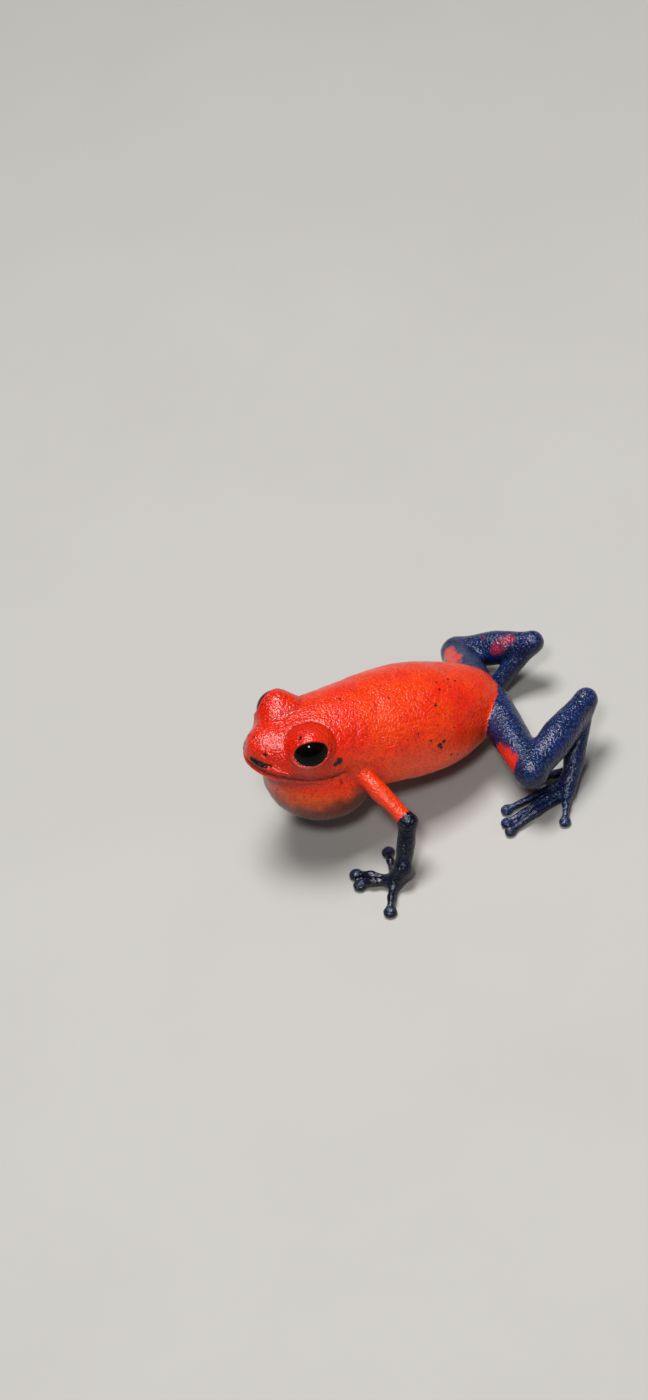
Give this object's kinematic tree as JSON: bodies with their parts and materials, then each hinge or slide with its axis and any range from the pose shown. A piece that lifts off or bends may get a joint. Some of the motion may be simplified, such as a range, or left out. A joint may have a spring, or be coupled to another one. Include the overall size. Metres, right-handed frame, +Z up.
{
  "type": "strawberry poison dart frog model",
  "caption": "Life-size still model of a calling poison dart frog, red-orange body, blue-black limbs, throat sac blown up, raised on its forelegs with bent hind legs.",
  "frame": {"origin": "middle of the floor under the frog's bounding box", "axes": "+Z up, the frog faces -Y, +X is the frog's left"},
  "size_m": [0.0198, 0.025, 0.012],
  "materials": {
    "back_skin": "moist, finely granular",
    "head_skin": "moist, glossy",
    "sac_skin": "thin, stretched, moist",
    "limb_skin": "moist, granular",
    "eye": "wet gloss"
  },
  "bodies": {
    "root": {"head": "head_skin", "torso": "back_skin", "vocal_sac": "sac_skin", "eye_left": "eye", "eye_right": "eye", "upper_arm_left": "back_skin", "upper_arm_right": "back_skin", "forearm_left": "limb_skin", "forearm_right": "limb_skin", "hand_left": "limb_skin", "hand_right": "limb_skin", "thigh_left": "limb_skin", "thigh_right": "limb_skin", "shank_left": "limb_skin", "shank_right": "limb_skin", "foot_left": "limb_skin", "foot_right": "limb_skin"}
  },
  "joints": []
}
